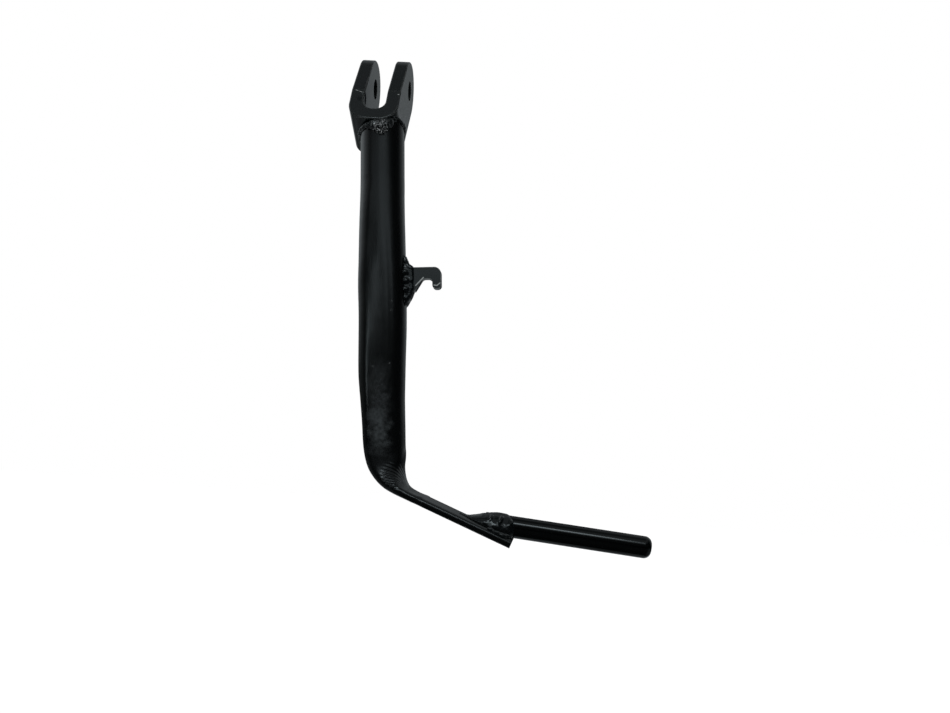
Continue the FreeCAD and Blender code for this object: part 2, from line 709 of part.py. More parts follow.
nodes = {"fork": fork, "leg_tube": leg, "spring_hook": hook, "toe_bar": toe_bar,
         "fork_weld": fork_weld, "hook_weld": hook_weld, "toe_bar_weld": bar_weld}
for name, item in nodes.items():
    item.Label = name
doc.recompute()
for item in doc.Objects:
    if {"Invalid", "Error"} & set(item.State):
        raise RuntimeError("%s did not build: %s" % (item.Name, item.State))
for name, item in nodes.items():
    if item.Shape.isNull() or not item.Shape.isValid() or not item.Shape.Solids:
        raise RuntimeError("%s has no valid solid" % name)
    print(name, "%d solid(s)" % len(item.Shape.Solids), "%.0f mm3" % item.Shape.Volume)
    item.Shape.exportStep("parts/%s.step" % name)
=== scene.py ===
import math
import random
import bpy
from mathutils import Matrix, Vector


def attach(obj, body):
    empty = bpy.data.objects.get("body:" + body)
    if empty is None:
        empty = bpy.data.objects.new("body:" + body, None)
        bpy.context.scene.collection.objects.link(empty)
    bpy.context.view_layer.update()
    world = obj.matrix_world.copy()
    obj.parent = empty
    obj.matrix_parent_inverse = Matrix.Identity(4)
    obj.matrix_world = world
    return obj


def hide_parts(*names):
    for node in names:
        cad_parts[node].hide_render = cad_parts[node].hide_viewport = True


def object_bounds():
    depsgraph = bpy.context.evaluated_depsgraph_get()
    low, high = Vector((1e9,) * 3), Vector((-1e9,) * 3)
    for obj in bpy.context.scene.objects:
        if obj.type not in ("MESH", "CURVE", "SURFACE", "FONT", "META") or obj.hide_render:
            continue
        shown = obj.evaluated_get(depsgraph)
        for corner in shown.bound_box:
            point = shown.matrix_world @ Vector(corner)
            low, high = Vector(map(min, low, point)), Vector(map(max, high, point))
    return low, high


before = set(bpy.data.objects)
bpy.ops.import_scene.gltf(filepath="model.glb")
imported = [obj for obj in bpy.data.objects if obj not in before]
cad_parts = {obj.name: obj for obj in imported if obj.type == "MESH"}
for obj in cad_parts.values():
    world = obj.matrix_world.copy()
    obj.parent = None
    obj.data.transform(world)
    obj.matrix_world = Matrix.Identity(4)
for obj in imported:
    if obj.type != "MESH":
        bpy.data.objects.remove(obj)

print("side stand: frame loaded")
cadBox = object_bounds()
scene = bpy.context.scene
bpy.ops.object.select_all(action="DESELECT")

cameraSet = {
    "place": (0.11204, -0.58134, -0.22085),
    "right": (0.99461, 0.06940, 0.07707),
    "up": (-0.06907, -0.11117, 0.99140),
    "lens": 37.895,   # mm, on a sensor as wide as the next line says
    "sensor": 36,
    "near": 0.01,   # nothing nearer than this is seen
}


def addCamera(settings):
    data = bpy.data.cameras.new("camera")
    data.sensor_fit = "HORIZONTAL"
    data.sensor_width = settings["sensor"]
    data.lens = settings["lens"]
    data.clip_start = settings["near"]
    right = Vector(settings["right"]).normalized()
    up = Vector(settings["up"])
    up = (up - right * up.dot(right)).normalized()
    back = right.cross(up)
    camera = bpy.data.objects.new("camera", data)
    turn = Matrix((right, up, back)).transposed().to_4x4()
    camera.matrix_world = Matrix.Translation(settings["place"]) @ turn
    scene.collection.objects.link(camera)
    scene.camera = camera


addCamera(cameraSet)
scene.view_settings.view_transform = "Standard"


def addNode(tree, kind, inputs=None, **settings):
    # an input is either a plain value or another node's output
    node = tree.nodes.new(kind)
    for name, value in settings.items():
        setattr(node, name, value)
    for name, value in (inputs or {}).items():
        if isinstance(value, bpy.types.NodeSocket):
            tree.links.new(value, node.inputs[name])
        else:
            node.inputs[name].default_value = value
    return node


def calc(tree, operation, first, second=0.0, third=0.0):
    node = addNode(tree, "ShaderNodeMath", {0: first, 1: second, 2: third}, operation=operation)
    return node.outputs[0]


def product(tree, first, *others):
    for other in others:
        first = calc(tree, "MULTIPLY", first, other)
    return first


def vectorCalc(tree, operation, inputs):
    return addNode(tree, "ShaderNodeVectorMath", inputs, operation=operation).outputs


def mixed(tree, factor, first, second, blend="MIX"):
    node = addNode(tree, "ShaderNodeMix", {"Factor": factor, "A": first, "B": second},
                   data_type="RGBA", blend_type=blend)
    return node.outputs["Result"]


def addNoise(tree, place, scale, detail, distortion=0.0):
    node = addNode(tree, "ShaderNodeTexNoise", {"Vector": place, "Scale": scale, "Detail": detail,
                                                "Distortion": distortion})
    return node.outputs["Fac"]


def fade(tree, value, start, end, faintest=0.0, curve="SMOOTHSTEP"):
    # faintest at start, 1 at end
    node = addNode(tree, "ShaderNodeMapRange", {"Value": value, "From Min": start, "From Max": end,
                                                "To Min": faintest}, interpolation_type=curve)
    return node.outputs["Result"]


def grey(level):
    return (level, level, level, 1)


def addRamp(tree, factor, stops):
    node = addNode(tree, "ShaderNodeValToRGB", {"Fac": factor})
    elements = node.color_ramp.elements
    while len(elements) < len(stops):
        elements.new(0.5)
    for element, (place, level) in zip(elements, stops):
        element.position = place
        element.color = grey(level)
    return node.outputs["Color"]


def ownPlace(tree):
    # the point of the piece, in the shared frame
    return addNode(tree, "ShaderNodeTexCoord").outputs["Object"]


def splitPlace(tree, place):
    return addNode(tree, "ShaderNodeSeparateXYZ", {0: place}).outputs


def cameraSees(tree):
    # 1 where the camera looks straight at it, or through something clear
    path = addNode(tree, "ShaderNodeLightPath").outputs
    return calc(tree, "MAXIMUM", path["Is Camera Ray"], path["Is Transmission Ray"])


# What the enamel mirrors: a white wall behind the part, brightest at both sides of it, a dim room in
# front, a ceiling and a pale floor. The camera sees the wall plain white.
roomSet = {
    "plain": 0.95,   # light on matt surfaces
    "wall": 1.0,
    # brightness round the compass: 0 and 1 are straight behind, 0.5 straight in front, 0.75 right
    "compass": [(0.0, 0.14), (0.079, 0.36), (0.134, 0.46), (0.171, 0.76), (0.198, 0.72), (0.223, 0.53),
                (0.246, 0.44), (0.268, 0.36), (0.287, 0.28), (0.304, 0.16), (0.34, 0.08), (0.371, 0.05),
                (0.43, 0.03), (0.60, 0.03), (0.665, 0.02), (0.695, 0.005), (0.745, 0.005),
                (0.782, 0.02), (0.801, 0.07), (0.823, 0.16), (0.846, 0.23), (0.873, 0.31),
                (0.904, 0.40), (0.95, 0.36), (0.966, 0.32), (0.974, 0.14), (0.985, 0.08), (1.0, 0.14)],
    # both by height: 0 straight down, 0.5 level, 1 straight up
    "level": [(0.0, 0.02), (0.25, 0.03), (0.33, 0.04), (0.41, 0.06), (0.50, 0.12), (0.53, 0.16),
              (0.56, 0.76), (0.58, 1.0), (0.85, 1.0), (0.93, 0.3), (1.0, 0.0)],
    "ceiling": [(0.0, 0.0), (0.80, 0.0), (0.93, 0.24), (0.965, 0.22), (1.0, 0.05)],
    # the pale floor, round the compass and by height
    "floorRound": [(0.0, 0.20), (0.03, 0.60), (0.08, 0.60), (0.12, 0.14), (0.22, 0.10), (0.26, 0.20),
                   (0.30, 0.10), (0.36, 0.03), (0.64, 0.03), (0.70, 0.10), (0.74, 0.20), (0.78, 0.10),
                   (0.88, 0.14), (0.92, 0.60), (0.97, 0.60), (1.0, 0.20)],
    "floorLevel": [(0.0, 0.3), (0.1, 0.7), (0.22, 1.0), (0.38, 1.0), (0.44, 0.35), (0.475, 0.0),
                   (1.0, 0.0)],
    "tint": (0.91, 1.0, 1.04, 1),
}


def makeRoom(settings):
    world = bpy.data.worlds.new("room")
    world.use_nodes = True
    tree = world.node_tree
    tree.nodes.clear()
    way = splitPlace(tree, addNode(tree, "ShaderNodeTexCoord").outputs["Generated"])
    turn = calc(tree, "ARCTAN2", way["X"], calc(tree, "MULTIPLY", way["Y"], -1.0))
    around = calc(tree, "MULTIPLY_ADD", turn, 0.5 / math.pi, 0.5)
    height = calc(tree, "MULTIPLY_ADD", way["Z"], 0.5, 0.5)
    walls = mixed(tree, 1.0, addRamp(tree, around, settings["compass"]),
                  addRamp(tree, height, settings["level"]), "MULTIPLY")
    above = mixed(tree, 1.0, walls, addRamp(tree, height, settings["ceiling"]), "LIGHTEN")
    ground = mixed(tree, 1.0, addRamp(tree, around, settings["floorRound"]),
                   addRamp(tree, height, settings["floorLevel"]), "MULTIPLY")
    whole = mixed(tree, 1.0, above, ground, "LIGHTEN")
    mirrored = mixed(tree, 1.0, whole, settings["tint"], "MULTIPLY")
    glossy = addNode(tree, "ShaderNodeLightPath").outputs["Is Glossy Ray"]
    lit = mixed(tree, glossy, grey(settings["plain"]), mirrored)
    colour = mixed(tree, cameraSees(tree), lit, grey(settings["wall"]))
    sky = addNode(tree, "ShaderNodeBackground", {"Color": colour, "Strength": 1.0})
    addNode(tree, "ShaderNodeOutputWorld", {"Surface": sky.outputs[0]})
    scene.world = world


makeRoom(roomSet)

lampSet = {
    "colour": (0.86, 1.0, 1.06),
    "aim": (0.06, -0.03, -0.15),   # each panel is tilted towards it, and faces straight back
    "panels": {
        # name: centre, width, height, brightness
        "nearPanel": ((0.11, -0.32, 0.055), 0.30, 0.07, 0.32),
        "nearLeft": ((-0.20, -0.32, 0.055), 0.32, 0.07, 0.20),
        "nearRight": ((0.33, -0.32, 0.055), 0.14, 0.07, 0.16),
        "bandPanel": ((0.11, -0.32, -0.02), 0.30, 0.08, 0.55),
        "bandLeft": ((-0.20, -0.32, -0.02), 0.32, 0.08, 0.30),
        "sidePanel": ((-0.03, -0.32, -0.073), 0.20, 0.045, 0.50),
        "ridgePanel": ((-0.155, -0.32, -0.118), 0.028, 0.05, 3.6),
        "topPanel": ((0.15, -0.62, 0.345), 0.24, 0.12, 3.6),
        "sparkPanel": ((-0.10, -0.55, 0.33), 0.20, 0.12, 6.0),
    },
}


def addPanels(settings):
    # what gloss mirrors: the camera and matt surfaces don't see them
    for name, (centre, width, height, level) in settings["panels"].items():
        data = bpy.data.lights.new(name, "AREA")
        data.shape = "RECTANGLE"
        data.size, data.size_y = width, height
        data.energy = level * math.pi * width * height
        data.color = settings["colour"]
        panel = bpy.data.objects.new(name, data)
        panel.location = centre
        aim = Vector(settings["aim"]) - Vector(centre)
        aim.x = 0
        panel.rotation_euler = aim.to_track_quat("-Z", "Z").to_euler()
        panel.visible_camera = False
        panel.visible_diffuse = False
        scene.collection.objects.link(panel)


addPanels(lampSet)

floorSet = {
    "drop": 0.16,   # below the part
    "size": 8.0,
    "level": 0.8, "roughness": 0.9, "specular": 0.1,
    "lift": 0.3,   # a glow that the camera alone sees
}


def makeFloor(settings):
    bpy.ops.mesh.primitive_plane_add(size=settings["size"],
                                     location=(0, 0, cadBox[0][2] - settings["drop"]))
    floor = bpy.context.object
    floor.name = "floor"
    paper = bpy.data.materials.new("palePaper")
    paper.use_nodes = True
    tree = paper.node_tree
    sockets = tree.nodes["Principled BSDF"].inputs
    sockets["Base Color"].default_value = grey(settings["level"])
    sockets["Roughness"].default_value = settings["roughness"]
    sockets["Specular IOR Level"].default_value = settings["specular"]
    sockets["Emission Color"].default_value = grey(1.0)
    tree.links.new(product(tree, cameraSees(tree), settings["lift"]), sockets["Emission Strength"])
    floor.data.materials.append(paper)
    floor.visible_glossy = False


makeFloor(floorSet)
print("side stand: room, panels and floor ready")


def newGroup(name, inputs, outputs):
    tree = bpy.data.node_groups.new(name, "ShaderNodeTree")
    for label in inputs:
        tree.interface.new_socket(name=label, in_out="INPUT", socket_type="NodeSocketFloat")
    for label in outputs:
        tree.interface.new_socket(name=label, in_out="OUTPUT", socket_type="NodeSocketFloat")
    return tree, addNode(tree, "NodeGroupInput").outputs


# each noise in this file is its scale and its detail, and where a third number follows, its distortion
flowSet = {"swell": (160.0, 2.0), "peel": (900.0, 1.0), "cloud": (70.0, 4.0), "dustScale": 420.0,
           "dustSize": 0.07}


def makeFlowGroup(settings):
    # the enamel's skin: slow swell, fine orange peel, uneven gloss and settled dust
    tree, given = newGroup("enamelFlow", ("Swell", "Peel", "Gloss", "Spread"),
                           ("Height", "Roughness", "Dust"))
    place = ownPlace(tree)
    swell = product(tree, addNoise(tree, place, *settings["swell"]), given["Swell"])
    peel = product(tree, addNoise(tree, place, *settings["peel"]), given["Peel"])
    cloud = calc(tree, "SUBTRACT", addNoise(tree, place, *settings["cloud"]), 0.5)
    uneven = product(tree, cloud, given["Spread"])
    speck = addNode(tree, "ShaderNodeTexVoronoi", {"Vector": place, "Scale": settings["dustScale"]})
    dust = calc(tree, "LESS_THAN", speck.outputs["Distance"], settings["dustSize"])
    addNode(tree, "NodeGroupOutput", {"Height": calc(tree, "ADD", swell, peel),
                                      "Roughness": calc(tree, "ADD", given["Gloss"], uneven),
                                      "Dust": dust})
    return tree


# painted highlight along every edge of the enamel
edgeSet = {
    "samples": 6,
    "parted": (0.9985, 0.980),   # cosine between the two normals where the painted edge highlight starts and where it is full
    "cloud": (240.0, 3.0), "cloudRange": (0.38, 0.62), "faintest": 0.3,
}


def makeEdgeGroup(settings):
    # painted highlight on edges: where a slightly rounded normal parts from the flat one, broken up by
    # noise, the colour is lightened to stand in for the light a rounded edge catches
    tree, given = newGroup("edgeSheen", ("Width", "Amount"), ("Mask",))
    rounded = addNode(tree, "ShaderNodeBevel", {"Radius": given["Width"]}, samples=settings["samples"])
    flat = addNode(tree, "ShaderNodeNewGeometry").outputs["Normal"]
    parted = vectorCalc(tree, "DOT_PRODUCT", {0: rounded.outputs["Normal"], 1: flat})["Value"]
    edge = fade(tree, parted, *settings["parted"], curve="LINEAR")
    broken = fade(tree, addNoise(tree, ownPlace(tree), *settings["cloud"]), *settings["cloudRange"],
                  faintest=settings["faintest"], curve="LINEAR")
    addNode(tree, "NodeGroupOutput", {"Mask": product(tree, edge, broken, given["Amount"])})
    return tree


flowGroup = makeFlowGroup(flowSet)
edgeGroup = makeEdgeGroup(edgeSet)

# gloss is the roughness and spread how uneven it is; depth is the height that 1 of the bump stands for
# the edge width, the edge strength and the edge colour below give a painted highlight along the edges
enamelSet = {
    "enamelPlate": {"colour": (0.0022, 0.0036, 0.0040), "dustColour": (0.010, 0.011, 0.011),
                    "swell": 0.6, "peel": 0.25, "gloss": 0.24, "spread": 0.10, "depth": 0.00004,
                    "edgeWidth": 0.0006, "edgeSheen": 0.8, "edgeSheenColour": (0.16, 0.17, 0.17)},
    "enamelTube": {"colour": (0.0002, 0.0007, 0.0009), "dustColour": (0.006, 0.007, 0.007),
                   "swell": 0.5, "peel": 0.15, "gloss": 0.23, "spread": 0.08, "depth": 0.00003,
                   "edgeWidth": 0.0006, "edgeSheen": 0.5, "edgeSheenColour": (0.030, 0.034, 0.034)},
    "enamelBar": {"colour": (0.0001, 0.0004, 0.0005), "dustColour": (0.004, 0.005, 0.005),
                  "swell": 0.4, "peel": 0.1, "gloss": 0.13, "spread": 0.06, "depth": 0.00002,
                  "edgeWidth": 0.0005, "edgeSheen": 0.4, "edgeSheenColour": (0.020, 0.022, 0.022)},
    "enamelWeld": {"colour": (0.0010, 0.0018, 0.0022), "dustColour": (0.010, 0.011, 0.011),
                   "swell": 1.0, "peel": 0.6, "gloss": 0.15, "spread": 0.10, "depth": 0.00010,
                   "edgeWidth": 0.0005, "edgeSheen": 0.3, "edgeSheenColour": (0.050, 0.054, 0.054)},
}
enamelIndex = 1.5   # how strongly the enamel mirrors: its index of refraction


def makeEnamel(name, settings):
    material = bpy.data.materials.new(name)
    material.use_nodes = True
    tree = material.node_tree
    sockets = tree.nodes["Principled BSDF"].inputs
    skin = {key: settings[key.lower()] for key in ("Swell", "Peel", "Gloss", "Spread")}
    flow = addNode(tree, "ShaderNodeGroup", skin, node_tree=flowGroup).outputs
    edgeLight = addNode(tree, "ShaderNodeGroup", {"Width": settings["edgeWidth"], "Amount": settings["edgeSheen"]},
                  node_tree=edgeGroup).outputs
    dusty = mixed(tree, flow["Dust"], (*settings["colour"], 1), (*settings["dustColour"], 1))
    # painted highlight: the edges lightened towards the edge colour
    wornAndSheened = mixed(tree, edgeLight["Mask"], dusty, (*settings["edgeSheenColour"], 1))
    bump = addNode(tree, "ShaderNodeBump", {"Strength": 1.0, "Distance": settings["depth"],
                                            "Height": flow["Height"]}, name="skinBump")
    tree.links.new(wornAndSheened, sockets["Base Color"])
    tree.links.new(flow["Roughness"], sockets["Roughness"])
    tree.links.new(bump.outputs["Normal"], sockets["Normal"])
    sockets["IOR"].default_value = enamelIndex
    return material


enamels = {name: makeEnamel(name, settings) for name, settings in enamelSet.items()}


def mixInto(material, mask, colour):
    # lays one more colour over what already feeds Base Color
    tree = material.node_tree
    base = tree.nodes["Principled BSDF"].inputs["Base Color"]
    tree.links.new(mixed(tree, mask, base.links[0].from_socket, (*colour, 1)), base)


def addHeight(material, height):
    # adds to what already feeds the bump
    tree = material.node_tree
    bump = tree.nodes["skinBump"].inputs["Height"]
    tree.links.new(calc(tree, "ADD", bump.links[0].from_socket, height), bump)


def nearSpot(tree, place, spot, reach, core):
    # 1 within the core of a spot, 0 beyond its reach
    far = vectorCalc(tree, "DISTANCE", {0: place, 1: spot})["Value"]
    return fade(tree, far, reach, core)


def nearMark(tree, place, first, last, reach, core):
    # the same for a straight mark from first to last
    run = Vector(last) - Vector(first)
    gone = vectorCalc(tree, "SUBTRACT", {0: place, 1: first})["Vector"]
    share = vectorCalc(tree, "DOT_PRODUCT", {0: gone, 1: run / run.length_squared})["Value"]
    share = addNode(tree, "ShaderNodeClamp", {"Value": share}).outputs["Result"]
    nearest = vectorCalc(tree, "SCALE", {0: run, "Scale": share})["Vector"]
    far = vectorCalc(tree, "DISTANCE", {0: gone, 1: nearest})["Value"]
    return fade(tree, far, reach, core)


def strengthUp(tree, level, settings):
    # the strength at a height, from a list over the share of the way up the patch
    risen = calc(tree, "DIVIDE", calc(tree, "SUBTRACT", level, settings["bottom"]), settings["height"])
    return addRamp(tree, risen, settings["strength"])


# In all the marks below, core is how far from its middle a mark is full and reach where it has gone, in
# metres, and relief is its height in multiples of the enamel's own depth, below zero for a hollow.
tubeMarks = {
    # painted reflection: a mottled patch lightened where the press closed on the tube, standing in for the
    # light its pressed face mirrors; its middle line leans by the slope
    "pressSheen": {
        "middle": 0.0019, "slope": 0.0875, "reach": 0.0076, "core": 0.00114,
        "edgeNoise": (190.0, 3.0), "ragged": 0.010,
        "front": (-0.026, -0.031),   # Y where it starts and where it is full
        "bottom": -0.232, "height": 0.068,   # Z where it starts, and how far up it goes
        "strength": [(0.0, 0.0), (0.147, 0.10), (0.28, 0.75), (0.36, 1.0), (0.50, 0.95), (0.57, 0.50),
                     (0.88, 0.30), (0.99, 0.0)],
        "sheenNoise": (520.0, 4.0), "sheenNoiseRange": (0.32, 0.68), "faintest": 0.35,
        "colour": (0.036, 0.043, 0.046),
    },
    "pits": {
        "spots": [(0.0199, -0.0337, -0.1346), (0.0205, -0.0337, -0.1395), (0.0218, -0.0337, -0.1694),
                  (0.0131, -0.0339, -0.1717)],
        "reach": 0.0010, "core": 0.0003,
        "speck": (1500.0, 2.0), "speckRange": (0.48, 0.62),
        "colour": (0.06, 0.066, 0.066),
    },
    # pleats in the inner side of the tight bend
    "pleats": {
        "spot": (0.0322, -0.0345, -0.2322), "reach": 0.0115, "core": 0.00345,
        "across": (0.0, -0.73, -0.68), "step": 0.0017,   # from pleat to pleat
        "relief": 5.0,
    },
}


def addPressSheen(material, settings):
    tree = material.node_tree
    place = ownPlace(tree)
    split = splitPlace(tree, place)
    upright = calc(tree, "MULTIPLY_ADD", split["Z"], settings["slope"], split["X"])
    across = calc(tree, "ABSOLUTE", calc(tree, "SUBTRACT", upright, settings["middle"]))
    stray = calc(tree, "SUBTRACT", addNoise(tree, place, *settings["edgeNoise"]), 0.5)
    ragged = calc(tree, "MULTIPLY_ADD", stray, settings["ragged"], across)
    inside = fade(tree, ragged, settings["reach"], settings["core"])
    front = fade(tree, split["Y"], *settings["front"])
    mottle = fade(tree, addNoise(tree, place, *settings["sheenNoise"]), *settings["sheenNoiseRange"],
                  faintest=settings["faintest"], curve="LINEAR")
    # painted reflection, mottled, on the pressed face
    pressSheen = product(tree, inside, front, strengthUp(tree, split["Z"], settings), mottle)
    mixInto(material, pressSheen, settings["colour"])


def addPits(material, settings):
    tree = material.node_tree
    place = ownPlace(tree)
    pitted = 0.0
    for spot in settings["spots"]:
        pit = nearSpot(tree, place, spot, settings["reach"], settings["core"])
        pitted = calc(tree, "MAXIMUM", pit, pitted)
    speck = fade(tree, addNoise(tree, place, *settings["speck"]), *settings["speckRange"])
    mixInto(material, product(tree, pitted, speck), settings["colour"])


def addPleats(material, settings):
    tree = material.node_tree
    place = ownPlace(tree)
    along = vectorCalc(tree, "DOT_PRODUCT", {0: place, 1: settings["across"]})["Value"]
    wave = calc(tree, "SINE", product(tree, along, 2 * math.pi / settings["step"]))
    bend = nearSpot(tree, place, settings["spot"], settings["reach"], settings["core"])
    addHeight(material, product(tree, wave, bend, settings["relief"]))


addPressSheen(enamels["enamelTube"], tubeMarks["pressSheen"])
addPits(enamels["enamelTube"], tubeMarks["pits"])
addPleats(enamels["enamelTube"], tubeMarks["pleats"])

# painted highlight colour, for the glints below
glintColour = (0.26, 0.28, 0.28)
plateMarks = {
    # painted highlight: a bright line where the fork's left ear was folded up, standing in for the glint at
    # that kink: X and Z of a point on it, its two ends in X, and Y before which it shows
    "foldGlint": {
        "point": (-0.01144, -0.0120), "slope": -0.34, "reach": 0.00032, "core": 0.0,
        "inner": -0.0072, "outer": -0.0128, "front": -0.027,
        "sheenNoise": (700.0, 2.0), "sheenNoiseRange": (0.36, 0.60),
        "colour": glintColour,
    },
    # painted highlights from one point to another, standing in for the glints on the right ear, the hook's
    # slanted edge and its finger
    "glintMarks": {
        "runs": [((0.0130, -0.0299, -0.0137), (0.0134, -0.0299, -0.0137)),
                 ((0.0319, -0.0259, -0.1235), (0.0359, -0.0259, -0.1186)),
                 ((0.0423, -0.0259, -0.1226), (0.0440, -0.0259, -0.1227)),
                 ((0.0440, -0.0259, -0.1227), (0.0456, -0.0259, -0.1212))],
        "reach": 0.00046, "core": 0.000092,
        "colour": glintColour,
    },
    # the outer faces of both ears, further out in X than outside, worn most at the fork's lower end
    "cheeks": {
        "outside": 0.0138, "bottom": -0.045, "height": 0.060,
        "strength": [(0.0, 0.0), (0.06, 1.0), (0.45, 0.8), (0.70, 0.35), (1.0, 0.25)],
        "cloud": (380.0, 5.0), "cloudRange": (0.36, 0.66),
        "colour": (0.016, 0.018, 0.018), "relief": 1.6,
    },
    # beside the left ear's inner corner
    "dent": {"spot": (-0.0070, -0.0290, -0.0170), "reach": 0.0050, "core": 0.0, "relief": -28.0},
}


def addFoldGlint(material, settings):
    tree = material.node_tree
    place = ownPlace(tree)
    split = splitPlace(tree, place)
    pointX, pointZ = settings["point"]
    run = calc(tree, "SUBTRACT", split["X"], pointX)
    level = calc(tree, "MULTIPLY_ADD", run, settings["slope"], pointZ)
    off = calc(tree, "ABSOLUTE", calc(tree, "SUBTRACT", split["Z"], level))
    line = product(tree, fade(tree, off, settings["reach"], settings["core"]),
                   calc(tree, "LESS_THAN", split["X"], settings["inner"]),
                   calc(tree, "GREATER_THAN", split["X"], settings["outer"]),
                   calc(tree, "LESS_THAN", split["Y"], settings["front"]),
                   fade(tree, addNoise(tree, place, *settings["sheenNoise"]), *settings["sheenNoiseRange"]))
    mixInto(material, line, settings["colour"])


def addGlintMarks(material, settings):
    tree = material.node_tree
    place = ownPlace(tree)
    glint = 0.0
    for first, last in settings["runs"]:
        mark = nearMark(tree, place, first, last, settings["reach"], settings["core"])
        glint = calc(tree, "MAXIMUM", mark, glint)
    mixInto(material, glint, settings["colour"])


def addCheekWear(material, settings):
    tree = material.node_tree
    place = ownPlace(tree)
    split = splitPlace(tree, place)
    side = calc(tree, "GREATER_THAN", calc(tree, "ABSOLUTE", split["X"]), settings["outside"])
    cloud = fade(tree, addNoise(tree, place, *settings["cloud"]), *settings["cloudRange"])
    wornAndSheened = product(tree, side, cloud, strengthUp(tree, split["Z"], settings))
    mixInto(material, wornAndSheened, settings["colour"])
    addHeight(material, product(tree, wornAndSheened, settings["relief"]))


def addDent(material, settings):
    tree = material.node_tree
    hollow = nearSpot(tree, ownPlace(tree), settings["spot"], settings["reach"], settings["core"])
    addHeight(material, product(tree, hollow, settings["relief"]))


addFoldGlint(enamels["enamelPlate"], plateMarks["foldGlint"])
addGlintMarks(enamels["enamelPlate"], plateMarks["glintMarks"])
addCheekWear(enamels["enamelPlate"], plateMarks["cheeks"])
addDent(enamels["enamelPlate"], plateMarks["dent"])

# painted highlights on the big weld bead
beadGlints = {
    "spot": (0.0062, -0.0372, -0.0365), "reach": 0.0072, "core": 0.00252,
    "swirl": (620.0, 3.0, 1.6), "swirlRange": (0.53, 0.66),
    "colour": (0.34, 0.36, 0.37),
}


def addBeadGlints(material, settings):
    # painted highlights: bright swirls on the big bead at the front of the fork joint, standing in for its
    # glints
    tree = material.node_tree
    place = ownPlace(tree)
    swirl = fade(tree, addNoise(tree, place, *settings["swirl"]), *settings["swirlRange"])
    near = nearSpot(tree, place, settings["spot"], settings["reach"], settings["core"])
    mixInto(material, product(tree, near, swirl), settings["colour"])


addBeadGlints(enamels["enamelWeld"], beadGlints)
print("side stand: four enamels mixed and marked")


def between(stops, place):
    # straight lines through a list of (place, value)
    for (first, low), (second, high) in zip(stops, stops[1:]):
        if place <= second:
            return low + (high - low) * max(place - first, 0.0) / (second - first)
    return stops[-1][1]


legPlane = -0.0234   # Y of the middle of the leg and of the foot
legSet = {"origin": (0.0052, legPlane, -0.040), "lean": 5.0, "radius": 0.0127}   # sideways, in degrees
footSet = {"end": (0.097518, legPlane, -0.260347), "along": (0.93789, 0.0, -0.34694),
           "up": (0.34694, 0.0, 0.93789)}
forkSet = {
    "lean": 24.1,   # to the back, in degrees
    # underside of the plate below the pivot: at the flat web, half the flat's width, the bend's outer
    # radius, and where the bend is as high as the bead goes
    "web": 0.044, "flat": 0.0035, "bend": 0.011, "end": 0.038,
    # along the leg, the joint lies between these heights and is found by halving
    "lowest": -0.02, "highest": 0.03, "halvings": 30,
}


def onLeg(sideways, away, up):
    # from the leg's own axes to the shared frame
    lean = math.radians(legSet["lean"])
    across = sideways * math.cos(lean) - up * math.sin(lean)
    level = sideways * math.sin(lean) + up * math.cos(lean)
    return Vector(legSet["origin"]) + Vector((across, away, level))


def legWay(sideways, away, up):
    return (onLeg(sideways, away, up) - onLeg(0, 0, 0)).normalized()


def onFoot(back, away, up):
    # from the foot's own axes, back from its end, to the shared frame
    start = Vector(footSet["end"]) - Vector(footSet["along"]) * back
    return start + Vector((0, away, 0)) + Vector(footSet["up"]) * up


def webHeight(across):
    # underside of the bent plate in the fork's own frame
    bend = forkSet["bend"]
    out = abs(across) - forkSet["flat"]
    if out <= 0:
        return -forkSet["web"]
    if out >= bend:
        return -forkSet["end"]
    return min(bend - forkSet["web"] - math.sqrt(bend ** 2 - out ** 2), -forkSet["end"])


def jointHeight(angle):
    # where the tube's skin meets the plate, along the leg
    lean = math.radians(forkSet["lean"])
    low, high = forkSet["lowest"], forkSet["highest"]
    for halving in range(forkSet["halvings"]):
        middle = (low + high) / 2
        spot = onLeg(legSet["radius"] * math.sin(angle), -legSet["radius"] * math.cos(angle), middle)
        if spot.y * math.sin(lean) + spot.z * math.cos(lean) < webHeight(spot.x):
            low = middle
        else:
            high = middle
    return low


coinSet = {"segments": 20, "rings": 12, "crown": 0.8, "press": 0.08}


def makeCoin(settings):
    # one drop of weld metal, copied along each weld: a ball with its crown pressed in a little
    bpy.ops.mesh.primitive_uv_sphere_add(segments=settings["segments"], ring_count=settings["rings"],
                                         radius=1.0)
    drop = bpy.context.object
    drop.name = "coin"
    bpy.ops.object.mode_set(mode="EDIT")
    bpy.ops.mesh.select_all(action="DESELECT")
    bpy.ops.object.mode_set(mode="OBJECT")
    for vertex in drop.data.vertices:
        vertex.select = vertex.co.z > settings["crown"]
    bpy.ops.object.mode_set(mode="EDIT")
    bpy.ops.transform.translate(value=(0, 0, -settings["press"]))
    bpy.ops.object.mode_set(mode="OBJECT")
    return drop


def placeCoin(centre, axes, radii):
    drop = coin.copy()
    drop.data = coin.data.copy()
    scene.collection.objects.link(drop)
    turn = Matrix([axis * radius for axis, radius in zip(axes, radii)]).transposed().to_4x4()
    drop.matrix_world = Matrix.Translation(centre) @ turn
    return drop


def cadCopy(node, closeness=0.000001):
    # the plain weld under the drops, with its loose triangles merged
    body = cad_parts[node].copy()
    body.data = body.data.copy()
    scene.collection.objects.link(body)
    bpy.ops.object.select_all(action="DESELECT")
    body.select_set(True)
    bpy.context.view_layer.objects.active = body
    bpy.ops.object.mode_set(mode="EDIT")
    bpy.ops.mesh.select_all(action="SELECT")
    bpy.ops.mesh.remove_doubles(threshold=closeness)
    bpy.ops.object.mode_set(mode="OBJECT")
    return body


def applied(piece, name, kind, **settings):
    modifier = piece.modifiers.new(name, kind)
    for key, value in settings.items():
        setattr(modifier, key, value)
    bpy.ops.object.modifier_apply(modifier=name)


